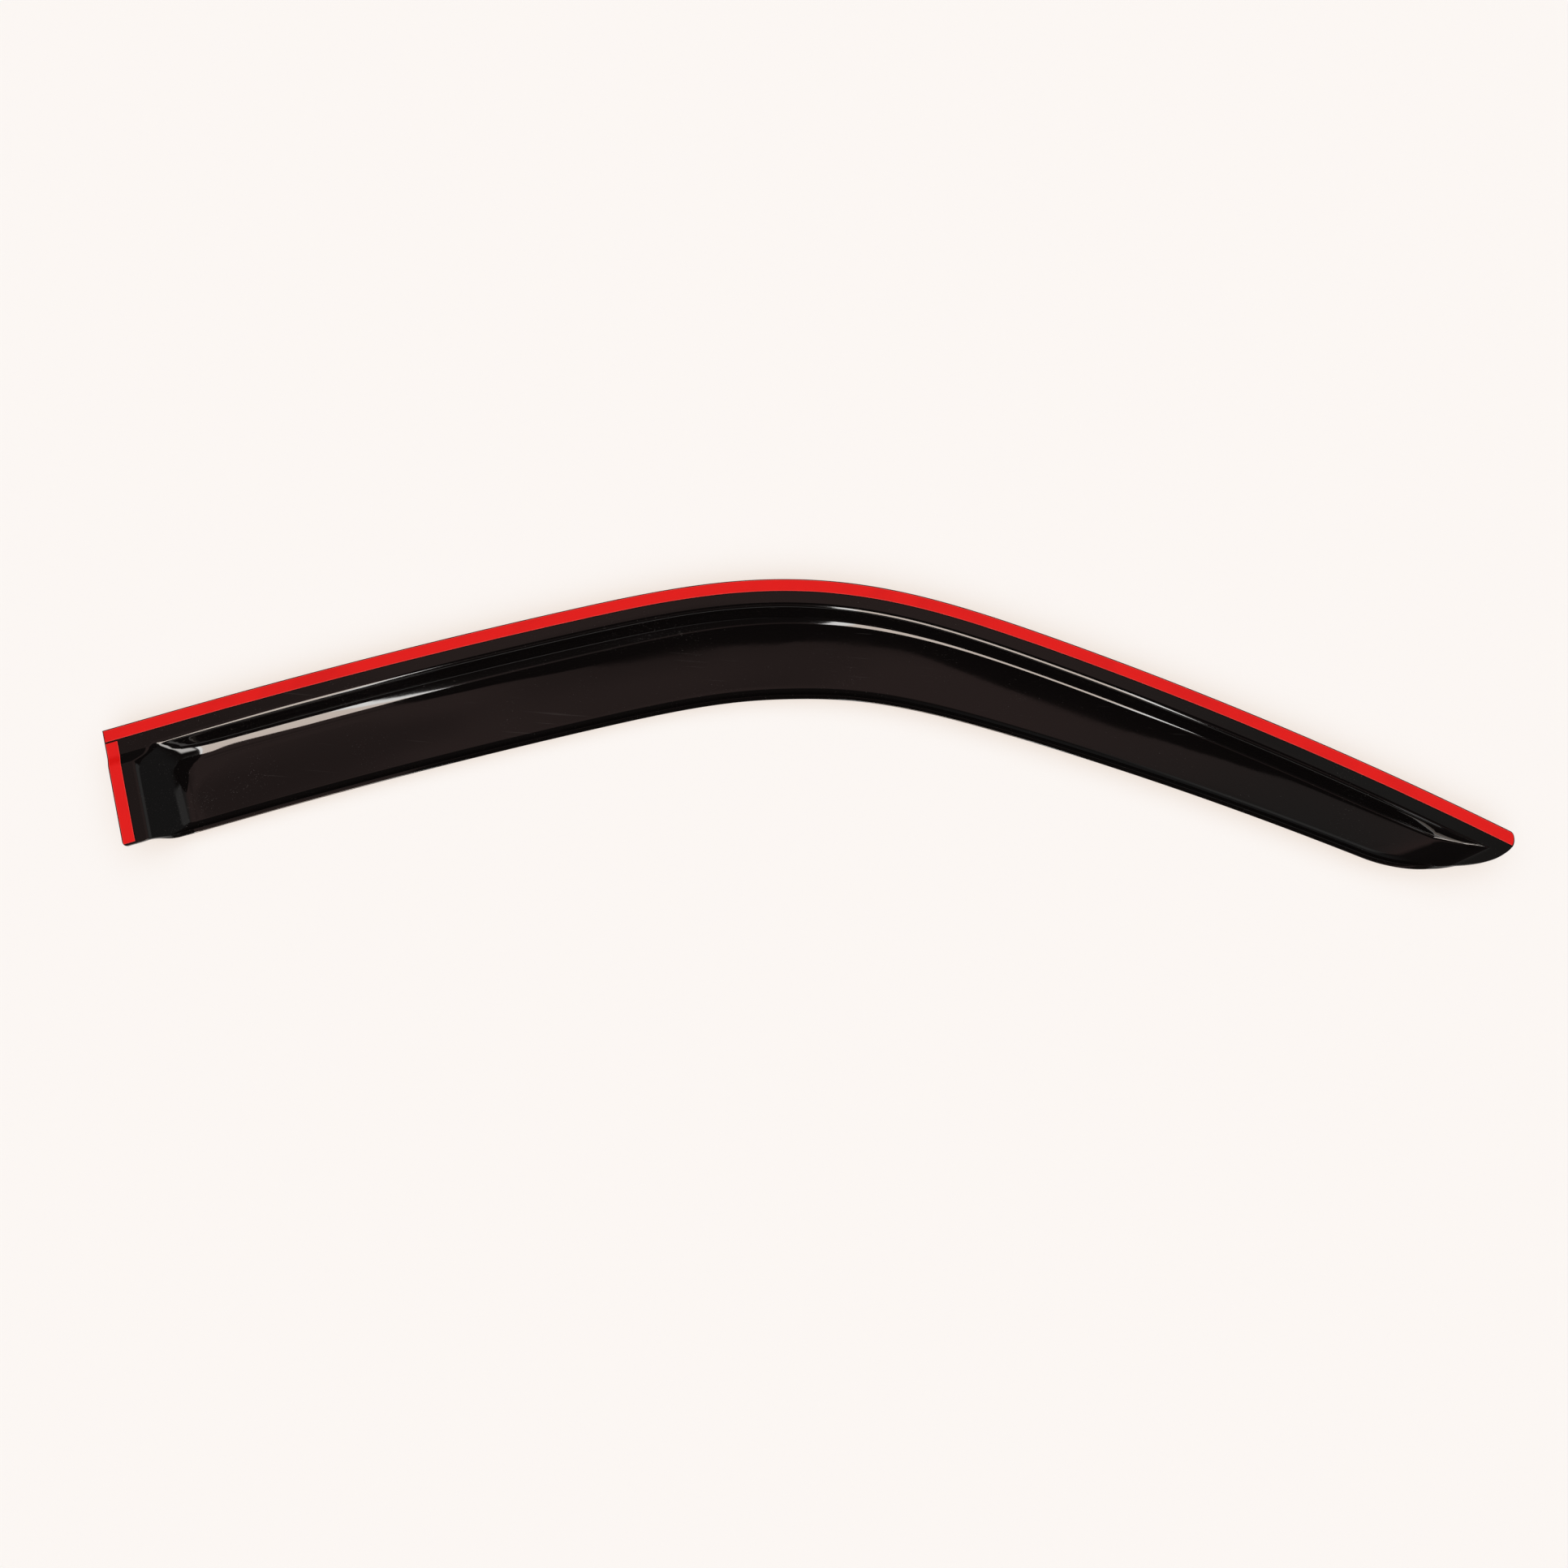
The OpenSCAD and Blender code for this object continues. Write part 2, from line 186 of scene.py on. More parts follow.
class DEFLECTOR_PG_stage(bpy.types.PropertyGroup):
    """Floor, room and camera"""
    floor: colour("Floor", (0.973, 0.939, 0.913), "Pale floor and surroundings")
    shadow_share: colour(
        "Shadow share", (0.25, 0.36, 0.45), "Share of the floor's light that a shadow can take")
    ceiling: colour("Ceiling", (0.40, 0.265, 0.245), "Dim ceiling that the flat faces mirror")
    far_ceiling: colour("Far ceiling", (0.20, 0.20, 0.19), "Cooler ceiling beyond the tip")
    gloom: colour("Gloom", (0.03, 0.026, 0.025), "Dark parts of the room")
    haze: colour("Haze", (0.12, 0.125, 0.125), "Dim part of the room beyond the tip")
    glow: colour("Glow", (0.45, 0.45, 0.44), "Lighter patch high up beyond the tip")
    hip: FloatVectorProperty(
        name="Hip light", description="Bright patch that the corner of the bulge mirrors",
        default=(10.0, 9.6, 9.2), subtype="COLOR", min=0)
    horizon: colour("Horizon", (0.40, 0.38, 0.37), "Low surroundings that the sheet mirrors")
    overhead: ratio("Overhead light", 1.9, "Strength of the soft light from above")
    front: ratio("Front light", 1.0, "Strength of the soft light from the front")
    camera_reach: FloatVectorProperty(
        name="Camera reach", description="From the rear corner of the part to the camera",
        default=(0.4664, -0.2709, 1.2904), subtype="XYZ_LENGTH", unit="LENGTH")
    camera_tilt: angle("Camera tilt", 15, "Tilt of the camera from straight down")
    camera_turn: angle("Camera turn", 4.19, "Turn of the camera about the vertical")
    lens: FloatProperty(
        name="Lens", description="Focal length of the camera", default=46.58, unit="CAMERA")
    lens_shift: ratio("Lens shift", -0.073, "Shift of the view, as a share of the picture's width")


# Form of the sheet

def clamp01(x):
    """Value held between 0 and 1"""
    return np.clip(x, 0.0, 1.0)


def rise3(x):
    """Smooth rise from 0 to 1"""
    c = clamp01(x)
    return c * c * (3 - 2 * c)


def rise5(x):
    """Smooth rise from 0 to 1 whose curvature has no jump either"""
    c = clamp01(x)
    return c ** 3 * (10 - 15 * c + 6 * c * c)


def soft_ramp(x, softness):
    """Bend from flat to a slope of 1"""
    return (x + np.hypot(x, softness)) / 2


def round_drop(x, radius):
    """Drop of a quarter circle at a distance from its flat end"""
    c = np.clip(radius - x, 0, radius)
    return radius - np.sqrt(radius * radius - c * c)


def unit(vectors):
    """Vectors brought to a length of 1"""
    return vectors / np.linalg.norm(vectors, axis=-1, keepdims=True)


def stretch(first, last, count):
    """Evenly spaced stations after the first one"""
    return list(np.linspace(first, last, count + 1)[1:])


class VisorForm:
    """Door side of the sheet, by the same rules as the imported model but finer"""

    def __init__(self, sizes):
        self.sizes = z = sizes
        self.curl_reach = (z.curl_radius + z.sheet) * math.sin(z.curl_angle)
        shoulder_reach = (z.crease_radius * math.sin(z.shoulder_angle)
                          + z.shoulder_run * math.cos(z.shoulder_angle)
                          + z.hollow_radius * (math.sin(z.shoulder_angle) - math.sin(z.blade_angle)))
        self.full_reach = shoulder_reach + z.least_blade + self.curl_reach
        self.nose_station = z.edge_length - z.nose_length
        self.bend_start = z.bend_station - z.bend_length / 2
        self.wall_end = z.end_flange + z.wall_zone
        self.foot_station = z.edge_length - z.nose_foot - z.tip_lean * z.top_flange
        self.trace_edge()
        self.shift = np.zeros(3)

    def trace_edge(self):
        """Follow the upper edge in small steps"""
        s = np.linspace(0, self.sizes.edge_length, EDGE_STEPS + 1)
        heading = self.heading((s[1:] + s[:-1]) / 2)
        x = np.concatenate([[0], np.cumsum(np.diff(s) * np.cos(heading))])
        y = np.concatenate([[0], np.cumsum(np.diff(s) * np.sin(heading))])
        self.edge = s, x, y
        self.chord = math.atan2(y[-1], x[-1])

    def heading(self, s):
        """Direction of the upper edge at a station"""
        z = self.sizes
        c = np.maximum(s, self.wall_end)
        return (-np.minimum(c, z.bend_station) / z.rear_arm_radius
                - np.maximum(c - z.bend_station, 0) / z.front_arm_radius
                - z.bend_turn * rise5((c - self.bend_start) / z.bend_length))

    def nose_travel(self, s):
        """Share of the nose that lies behind a station"""
        return clamp01((s - self.nose_station) / self.sizes.nose_length)

    def lean(self, s):
        """Travel along the edge for each unit of width, at both ends"""
        z = self.sizes
        rear = 1 - rise3((s - z.end_flange) / z.lean_fade)
        return z.tip_lean * self.nose_travel(s) ** 2 - z.rear_lean * rear

    def plan(self, s, t):
        """Place in plan of a point at a station and a width"""
        z = self.sizes
        u = clamp01(t / z.tip_width)
        along = self.lean(s) * t + 4 * z.tip_bulge * u * (1 - u) * self.nose_travel(s) ** 6
        turned = self.heading(s) - self.chord
        x, y = np.interp(s, self.edge[0], self.edge[1]), np.interp(s, self.edge[0], self.edge[2])
        c, k = math.cos(self.chord), math.sin(self.chord)
        return (x * c + y * k + along * np.cos(turned) + t * np.sin(turned),
                y * c - x * k + along * np.sin(turned) - t * np.cos(turned))

    def arm_width(self, s):
        """Width before the nose and the rear corner are shaped"""
        z = self.sizes
        whole = soft_ramp(self.nose_station - z.taper_station, z.taper_softness)
        travel = soft_ramp(s - z.taper_station, z.taper_softness) / whole
        return z.rear_width - (z.rear_width - z.nose_width) * travel

    def width(self, s):
        """Width inside the rolled rim at the rear corner, and whole elsewhere"""
        z = self.sizes
        tip = (z.tip_width / self.arm_width(z.edge_length)) ** (1 / z.nose_taper)
        drop = z.end_flange_drop * (1 - rise3((s - z.end_flange + z.rear_rounding) / z.drop_fade))
        nose = (1 - (1 - tip) * self.nose_travel(s) ** 2) ** z.nose_taper
        return self.arm_width(s) * nose + drop - round_drop(s - z.rim, z.rear_rounding - z.rim)

    def nose_share(self, s):
        """Share of the full depth that is left on the way to the nose"""
        z = self.sizes
        return 1 - (1 - z.nose_depth) * clamp01(1 - (self.foot_station - s) / z.nose_fade) ** 2

    def section(self, s):
        """Widths and depths of the points of a section before the end walls cut into it"""
        z = self.sizes
        w = self.width(s)
        flange = np.minimum(z.top_flange, z.narrow_share * w)
        squeeze = np.minimum(1, (w - flange) / self.full_reach)
        scale = self.nose_share(s) * squeeze
        front = rise3((s - self.bend_start) / z.bend_length)
        run = z.shoulder_run + (z.front_run - z.shoulder_run) * front
        hollow = z.hollow_radius + (z.front_hollow - z.hollow_radius) * front
        steep, flat = z.shoulder_angle, z.blade_angle
        widths, depths = [], []

        def put(width, depth):
            widths.append(width)
            depths.append(depth)

        start = z.rim + round_drop(z.edge_length - z.rim - s, z.tip_rounding - z.rim)
        for u in [0, NEAR_RIM] + stretch(0, 1, FLANGE_STEPS)[:-1]:
            put(start + (flange - start) * u, 0 * s)
        for a in np.linspace(0, steep, CREASE_STEPS + 1):
            put(flange + scale * z.crease_radius * math.sin(a), scale * z.crease_radius * (1 - math.cos(a)))
        crease_end, crease_depth = widths[-1], depths[-1]
        for u in stretch(0, 1, SHOULDER_STEPS)[:-1]:
            put(crease_end + scale * u * run * math.cos(steep),
                crease_depth + scale * u * run * math.sin(steep))
        for a in np.linspace(steep, flat, HOLLOW_STEPS + 1):
            put(crease_end + scale * (run * math.cos(steep) + hollow * (math.sin(steep) - math.sin(a))),
                crease_depth + scale * (run * math.sin(steep) + hollow * (math.cos(a) - math.cos(steep))))
        blade_start, blade_depth = widths[-1], depths[-1]
        blade = w - squeeze * self.curl_reach - blade_start
        rise = blade * math.tan(flat) / 2
        for u in stretch(0, 1, BLADE_STEPS):
            put(blade_start + u * blade, blade_depth + rise * u * (2 - u))
        last = z.curl_angle - z.low_rim / z.curl_radius
        for a in stretch(0, last, CURL_STEPS)[:-1] + [last - NEAR_RIM, last]:
            put(w - squeeze * (self.curl_reach - z.curl_radius * math.sin(a)),
                blade_depth + rise - scale * z.curl_radius * (1 - math.cos(a)))
        return np.concatenate(widths, 1), np.concatenate(depths, 1), flange, w

    def wall(self, x, steepness):
        """Depth that an end wall allows at a distance inside its foot"""
        z = self.sizes
        foot = z.wall_foot
        travel = np.where(x < 0, 0, np.where(x < foot, x * x / (2 * foot), x - foot / 2))
        depth = math.tan(steepness) * travel
        return depth * (1 + (depth / z.wall_growth) ** 2)

    def lesser(self, a, b):
        """Lesser of two depths, with the valley between them rounded"""
        p = self.sizes.wall_sharpness
        least = 1e-9
        c, d = np.maximum(a, least), np.maximum(b, least)
        return np.where(np.minimum(a, b) <= 0, 0.0, c * d / (c ** p + d ** p) ** (1 / p))

    def joggle(self, s, t):
        """Rise of the end flange toward the door"""
        z = self.sizes
        return (z.joggle_step * rise3((t - z.joggle_place) / z.joggle_length + 0.5)
                * (1 - rise3((s - z.end_flange) / z.wall_zone)))

    def bulge(self, s, t, depth):
        """Depth of the bulge once the end walls have cut into it"""
        z = self.sizes
        corner = (((s - z.end_flange) / z.corner_along + (t - z.top_flange) / z.corner_down - 1)
                  * z.corner_along * z.corner_down / math.hypot(z.corner_along, z.corner_down))
        rear = self.lesser(self.wall(s - z.end_flange, z.rear_wall_angle),
                           self.wall(corner, z.rear_wall_angle))
        nose = ((z.edge_length - z.nose_foot - s - self.lean(s) * t) * math.cos(z.nose_foot_slant)
                + (z.top_flange - t) * math.sin(z.nose_foot_slant))
        return self.lesser(self.lesser(depth, rear), self.wall(nose, z.nose_wall_angle))

    def door_side(self, stations):
        """Points of the door side inside its rolled rim, one row for each station"""
        z = self.sizes
        s = stations[:, None]
        t, depth, flange, w = self.section(s)
        end_depth = np.maximum(depth[:, -1:], 1e-6)
        flatness = 1 - clamp01(self.bulge(s, t[:, -1:], end_depth) / end_depth)
        t = t - z.low_rim * flatness * clamp01((t - flange) / (w - flange))
        x, y = self.plan(s, t)
        return np.stack([x, y, self.joggle(s, t) - self.bulge(s, t, depth)], -1) + self.shift

    def stations(self):
        """Stations of the rows, closer together where the form changes quickly"""
        z = self.sizes
        first, last = z.rim, z.edge_length - z.rim
        corner = z.rear_rounding - z.rim
        tip = z.tip_rounding - z.rim
        rows = [first + corner * (1 - math.cos(math.radians(a))) for a in (0, 15, 30, 45, 60, 75, 90)]
        zones = (
            (z.end_flange, 8),
            (self.wall_end, 54),
            (self.bend_start, 40),
            (self.bend_start + z.bend_length, 90),
            (self.nose_station, 40),
            (last - tip, 120),
        )
        for end, count in zones:
            rows += stretch(rows[-1], end, count)
        rows += [last - tip + tip * math.sin(math.radians(a)) for a in (20, 40, 60, 75, 90)]
        return np.array(rows)


def upward(points):
    """Normals of a grid of points"""
    return unit(np.cross(np.gradient(points, axis=1), np.gradient(points, axis=0)))


def rim_walk(rows, columns):
    """Indices round the rim of a grid, counter-clockwise as seen from the door"""
    down, back = np.arange(columns - 1), np.arange(columns - 1, 0, -1)
    out, home = np.arange(rows - 1), np.arange(rows - 1, 0, -1)
    i = np.concatenate([0 * down, out, 0 * back + rows - 1, home])
    j = np.concatenate([down, 0 * out + columns - 1, back, 0 * home])
    return i, j


def sheet_piece(name, upper, normals, thickness, rounding, material, from_edge=None):
    """Closed piece of sheet under a grid of points, its rim rolled by one radius or a grid of them"""
    rows, columns = upper.shape[:2]
    size = rows * columns
    i, j = rim_walk(rows, columns)
    rounding = np.broadcast_to(rounding, (rows, columns))[i, j][:, None]
    edge, up = upper[i, j], normals[i, j]
    out = unit(np.cross(np.roll(edge, -1, axis=0) - np.roll(edge, 1, axis=0), up))
    turns = np.radians(stretch(0, 90, RIM_STEPS))
    loops = [edge + rounding * (math.sin(a) * out + (math.cos(a) - 1) * up) for a in turns]
    loops += [edge - thickness * up + rounding * (math.sin(a) * out + (1 - math.cos(a)) * up)
              for a in turns[::-1]]
    points = np.concatenate([upper.reshape(-1, 3), (upper - thickness * normals).reshape(-1, 3)] + loops)

    grid = np.arange(size).reshape(rows, columns)
    ring = [grid[:-1, :-1], grid[:-1, 1:], grid[1:, 1:], grid[1:, :-1]]
    face = np.stack(ring, -1).reshape(-1, 4)
    walk = grid[i, j]
    around = np.arange(len(walk))
    levels = [walk] + [2 * size + k * len(walk) + around for k in range(len(loops))] + [walk + size]
    quads = [face, face[:, ::-1] + size]
    for high, low in zip(levels[:-1], levels[1:]):
        quads.append(np.stack([high, low, np.roll(low, -1), np.roll(high, -1)], -1))

    mesh = bpy.data.meshes.new(name)
    mesh.from_pydata(points.tolist(), [], np.concatenate(quads).tolist())
    mesh.shade_smooth()
    if from_edge is not None:
        distance = np.concatenate([from_edge.ravel(), from_edge.ravel(), np.zeros(len(loops) * len(walk))])
        values = mesh.attributes.new("from_edge", "FLOAT", "POINT").data
        values.foreach_set("value", distance.astype(np.float32))
    mesh.materials.append(material)
    piece = bpy.data.objects.new(name, mesh)
    bpy.context.scene.collection.objects.link(piece)
    return piece


def hand_over(piece, slot, *nodes):
    """Say which body a piece rides on and hide the nodes that it stands for; the slot is not used"""
    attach(piece, "root")
    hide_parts(*nodes)


# Nodes of the finishes

class Wiring:
    """Node tree that is filled one node at a time"""

    def __init__(self, tree):
        self.tree = tree

    def add(self, kind, sockets=None, **settings):
        """New node, with its sockets linked or set"""
        node = self.tree.nodes.new(kind)
        for key, value in settings.items():
            setattr(node, key, value)
        for key, value in (sockets or {}).items():
            if isinstance(value, bpy.types.NodeSocket):
                self.tree.links.new(value, node.inputs[key])
            else:
                node.inputs[key].default_value = value
        return node

    def math(self, operation, a, b=0.0):
        """Result of a sum or another operation"""
        return self.add("ShaderNodeMath", {0: a, 1: b}, operation=operation).outputs[0]

    def smooth(self, value, low, high, start=0.0, end=1.0):
        """Smooth passage from a start to an end over a range of a value"""
        sockets = {"Value": value, "From Min": low, "From Max": high, "To Min": start, "To Max": end}
        return self.add("ShaderNodeMapRange", sockets, interpolation_type="SMOOTHSTEP").outputs["Result"]

    def band(self, value, start, end):
        """Share that grows over one range of a value and fades over a later one"""
        return self.math("MULTIPLY", self.smooth(value, *start), self.smooth(value, *end, 1.0, 0.0))

    def noise(self, vector, scale, detail=2.0, roughness=0.5):
        """Soft clouds, from 0 to 1"""
        sockets = {"Vector": vector, "Scale": scale, "Detail": detail, "Roughness": roughness}
        return self.add("ShaderNodeTexNoise", sockets).outputs["Fac"]

    def mix(self, share, a, b):
        """Colour between two others"""
        node = self.add("ShaderNodeMix", data_type="RGBA")
        for socket, value in (("Factor", share), ("A", a), ("B", b)):
            target = next(s for s in node.inputs if s.name == socket and s.enabled)
            if isinstance(value, bpy.types.NodeSocket):
                self.tree.links.new(value, target)
            else:
                target.default_value = value
        return next(s for s in node.outputs if s.enabled)


def effect(name, inputs, outputs):
    """Node group with its two ends, where an input without a number takes a vector"""
    tree = bpy.data.node_groups.new(name, "ShaderNodeTree")
    for label, default in inputs.items():
        kind = "NodeSocketVector" if default is None else "NodeSocketFloat"
        socket = tree.interface.new_socket(label, in_out="INPUT", socket_type=kind)
        if default is not None:
            socket.default_value = default
    for label in outputs:
        tree.interface.new_socket(label, in_out="OUTPUT", socket_type="NodeSocketFloat")
    return Wiring(tree), tree.nodes.new("NodeGroupInput"), tree.nodes.new("NodeGroupOutput")


def settled_dust():
    """Mask of fine specks of dust, gathered in patches"""
    name = "Settled dust"
    if name in bpy.data.node_groups:
        return bpy.data.node_groups[name]
    inputs = {"Vector": None, "Speck Scale": 1400.0, "Patch Scale": 22.0, "Amount": 0.1}
    w, given, result = effect(name, inputs, ["Mask"])
    gathering, rarity, softness = 0.4, 0.86, 0.06
    specks = w.noise(given.outputs["Vector"], given.outputs["Speck Scale"], 1.0)
    patches = w.noise(given.outputs["Vector"], given.outputs["Patch Scale"], 3.0)
    level = w.math("ADD", specks, w.math("MULTIPLY", w.math("SUBTRACT", patches, 0.5), gathering))
    edge = w.math("SUBTRACT", rarity, given.outputs["Amount"])
    w.tree.links.new(w.smooth(level, edge, w.math("ADD", edge, softness)), result.inputs["Mask"])
    return w.tree


def formed_surface():
    """Height of the slow waves and the fine texture that forming leaves"""
    name = "Formed surface"
    if name in bpy.data.node_groups:
        return bpy.data.node_groups[name]
    inputs = {"Vector": None, "Wave Scale": 18.0, "Texture Scale": 260.0, "Texture Share": 0.05}
    w, given, result = effect(name, inputs, ["Height"])
    waves = w.noise(given.outputs["Vector"], given.outputs["Wave Scale"], 1.0)
    texture = w.noise(given.outputs["Vector"], given.outputs["Texture Scale"], 2.0)
    total = w.math("ADD", waves, w.math("MULTIPLY", texture, given.outputs["Texture Share"]))
    w.tree.links.new(total, result.inputs["Height"])
    return w.tree


def wiped_streaks():
    """Mask of faint hairlines from wiping and handling"""
    name = "Wiped streaks"
    if name in bpy.data.node_groups:
        return bpy.data.node_groups[name]
    inputs = {"Vector": None, "Line Scale": 900.0, "Stretch": 0.02, "Amount": 0.1}
    w, given, result = effect(name, inputs, ["Mask"])
    gathering, rarity, softness, place_scale = 0.5, 0.85, 0.1, 14.0
    parts = w.add("ShaderNodeSeparateXYZ", {0: given.outputs["Vector"]})
    along = w.math("MULTIPLY", parts.outputs["X"], given.outputs["Stretch"])
    drawn = w.add("ShaderNodeCombineXYZ", {"X": along, "Y": parts.outputs["Y"], "Z": parts.outputs["Z"]})
    lines = w.noise(drawn.outputs[0], given.outputs["Line Scale"], 1.0)
    places = w.noise(given.outputs["Vector"], place_scale, 2.0)
    level = w.math("ADD", lines, w.math("MULTIPLY", w.math("SUBTRACT", places, 0.5), gathering))
    edge = w.math("SUBTRACT", rarity, given.outputs["Amount"])
    w.tree.links.new(w.smooth(level, edge, w.math("ADD", edge, softness)), result.inputs["Mask"])
    return w.tree


def placed(w, tree, output, vector, **values):
    """Put an effect into a material with its own values"""
    node = w.add("ShaderNodeGroup", node_tree=tree)
    w.tree.links.new(vector, node.inputs["Vector"])
    for label, value in values.items():
        node.inputs[label.replace("_", " ")].default_value = value
    return node.outputs[output]


def finish_material(name):
    """New material with a Principled shader, its wiring and the place on the part"""
    material = bpy.data.materials.new(name)
    material.use_nodes = True
    w = Wiring(material.node_tree)
    w.tree.nodes.clear()
    shader = w.add("ShaderNodeBsdfPrincipled")
    w.add("ShaderNodeOutputMaterial", {"Surface": shader.outputs[0]})
    place = w.add("ShaderNodeTexCoord").outputs["Object"]
    return material, w, shader, place


def opaque(rgb):
    """Colour with full cover"""
    return (*rgb, 1.0)


def smoked_acrylic(colours):
    """Polished smoked acrylic with slow waves, fine dust and faint hairlines"""
    material, w, shader, place = finish_material("smoked_acrylic_gloss")
    dust = placed(w, settled_dust(), "Mask", place, Speck_Scale=1500.0, Patch_Scale=24.0, Amount=0.10)
    streaks = placed(w, wiped_streaks(), "Mask", place, Line_Scale=1100.0, Stretch=0.015, Amount=0.10)
    haze = w.noise(place, 9.0, 4.0)
    marks = w.math("MAXIMUM", dust, w.math("MULTIPLY", streaks, 0.25))
    tone = w.mix(marks, opaque(colours.acrylic), opaque(colours.dust))
    w.tree.links.new(tone, shader.inputs["Base Color"])
    polish = w.smooth(haze, 0.3, 0.75, start=0.025, end=0.06)
    w.tree.links.new(w.math("ADD", polish, w.math("MULTIPLY", marks, 0.25)), shader.inputs["Roughness"])
    height = placed(w, formed_surface(), "Height", place,
                    Wave_Scale=16.0, Texture_Scale=230.0, Texture_Share=0.02)
    bump = w.add("ShaderNodeBump", {"Height": height, "Strength": 1.0, "Distance": 0.00012})
    w.tree.links.new(bump.outputs[0], shader.inputs["Normal"])
    shader.inputs["IOR"].default_value = 1.49
    return material


def tape_foam(colours):
    """Matt foam with fine open cells, whose pits are painted darker as shade"""
    material, w, shader, place = finish_material("closed_cell_foam")
    cells = w.add("ShaderNodeTexVoronoi", {"Vector": place, "Scale": 4200.0, "Randomness": 1.0})
    pits = w.smooth(cells.outputs["Distance"], 0.15, 0.6)
    # Painted shade: the pits of the cells take the darker colour, and the same mask bumps them
    tone = w.mix(pits, opaque(colours.foam_pit_shade), opaque(colours.foam))
    w.tree.links.new(tone, shader.inputs["Base Color"])
    dust = placed(w, settled_dust(), "Mask", place, Speck_Scale=1800.0, Patch_Scale=60.0, Amount=0.16)
    w.tree.links.new(w.smooth(dust, 0.0, 1.0, 0.82, 0.95), shader.inputs["Roughness"])
    bump = w.add("ShaderNodeBump", {"Height": pits, "Strength": 0.6, "Distance": 0.00006})
    w.tree.links.new(bump.outputs[0], shader.inputs["Normal"])
    return material


def tape_liner(colours):
    """Red satin film with darker random clouds, a painted highlight along its cut edges and a painted shade
    line next to them
    """
    material, w, shader, place = finish_material("red_liner_film")
    distance = w.add("ShaderNodeAttribute", attribute_name="from_edge").outputs["Fac"]
    clouds = w.noise(place, 34.0, 3.0)
    red = w.mix(w.smooth(clouds, 0.42, 0.8), opaque(colours.liner), opaque(colours.liner_tone_and_shade))
    # Painted highlight: a pale line along the cut edges of the liner
    edge_glint = w.smooth(distance, 0.00022, 0.00042, 1.0, 0.0)
    # Painted shade: a darker line just inside the pale edge, next to the foam's side
    line = w.band(distance, (0.00042, 0.0006), (0.0006, 0.0008))
    red = w.mix(w.math("MULTIPLY", line, 0.6), red, opaque(colours.liner_tone_and_shade))
    red = w.mix(w.math("MULTIPLY", edge_glint, 0.7), red, opaque(colours.liner_edge_highlight))
    w.tree.links.new(red, shader.inputs["Base Color"])
    streaks = placed(w, wiped_streaks(), "Mask", place, Line_Scale=1500.0, Stretch=0.02, Amount=0.12)
    dust = placed(w, settled_dust(), "Mask", place, Speck_Scale=1600.0, Patch_Scale=40.0, Amount=0.08)
    marks = w.math("MAXIMUM", streaks, dust)
    w.tree.links.new(w.smooth(marks, 0.0, 1.0, 0.34, 0.5), shader.inputs["Roughness"])
    height = placed(w, formed_surface(), "Height", place,
                    Wave_Scale=70.0, Texture_Scale=900.0, Texture_Share=0.04)
    bump = w.add("ShaderNodeBump", {"Height": height, "Strength": 1.0, "Distance": 0.00006})
    w.tree.links.new(bump.outputs[0], shader.inputs["Normal"])
    shader.inputs["Specular IOR Level"].default_value = 0.18
    return material


# Pieces

def visor_form():
    """Form of the sheet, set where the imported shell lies"""
    form = VisorForm(bpy.context.scene.deflector_visor)
    z = form.sizes
    corner, _ = form.plan(0.0, 0.0)
    plan_points = form.door_side(form.stations())
    low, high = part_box("visor_shell")
    flange_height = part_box("top_tape")[0][2]
    form.shift = np.array([low[0] - corner, high[1] - plan_points[..., 1].max() - z.rim, flange_height])
    return form


# Waves of a hand-laid edge: share, and length in metres, of each
EDGE_WAVES = ((0.5, 0.031), (0.3, 0.0127), (0.2, 0.0049))


def uneven(s, size, phase):
    """Slow, small departure of a hand-laid edge"""
    return size * sum(share * np.sin(s / wave + k * phase) for k, (share, wave) in enumerate(EDGE_WAVES, 1))


class DEFLECTOR_OT_form_shell(bpy.types.Operator):
    """Form the smoked acrylic sheet with its flange, bulge, end walls and curled edge"""
    bl_idname = "deflector.form_shell"
    bl_label = "Form the acrylic shell"

    def execute(self, context):
        form = visor_form()
        z = form.sizes
        stations = form.stations()
        upper = form.door_side(stations)
        ends = rise3(np.minimum(stations - z.rim, z.edge_length - z.rim - stations) / (2 * z.low_rim))
        rounding = np.full(upper.shape[:2], z.rim)
        rounding[:, -1] += (z.low_rim - z.rim) * ends
        shell = sheet_piece("acrylic_visor", upper, upward(upper), z.sheet, rounding,
                            smoked_acrylic(context.scene.deflector_finish))
        hand_over(shell, "smoked_acrylic", "visor_shell")
        return {"FINISHED"}


def tape_layers(context, name, nodes, strip):
    """Lay a strip of foam and the liner on it"""
    tape = context.scene.deflector_tape
    colours = context.scene.deflector_finish
    layers = (
        ("foam", "tape_foam", tape.foam, tape.foam, tape.foam_rim, tape_foam, nodes[0]),
        ("liner", "tape_liner", tape.foam + tape.liner, tape.liner, tape.liner_rim, tape_liner, nodes[1]),
    )
    for layer, slot, height, thickness, rim, finish, node in layers:
        points, from_edge = strip(height, rim, layer)
        piece = sheet_piece(f"{name}_{layer}", points, upward(points), thickness, rim,
                            finish(colours), from_edge)
        hand_over(piece, slot, node)


# Places of the points across a strip of tape, and distances from its end of the closest ones
ACROSS = np.array([0, 0.012, 0.03, 0.06, 0.1, 0.2, 0.35, 0.5, 0.65, 0.8, 0.9, 0.94, 0.97, 0.988, 1.0])
TOP_ENDS = np.array([0, 0.15, 0.4, 0.8, 1.3, 2.0]) * MM
END_ENDS = np.array([0, 0.15, 0.4, 0.8]) * MM

# Rounding of the corners at the tip's end of the tape
FOAM_CORNER = 0.6 * MM
LINER_CORNER = 1.2 * MM


def along_strip(first, last, ends, margin, count):
    """Places along a strip of tape, evenly spaced beyond a margin at both ends"""
    middle = np.linspace(first + margin, last - margin, count)
    return np.concatenate([first + ends, middle, (last - ends)[::-1]])


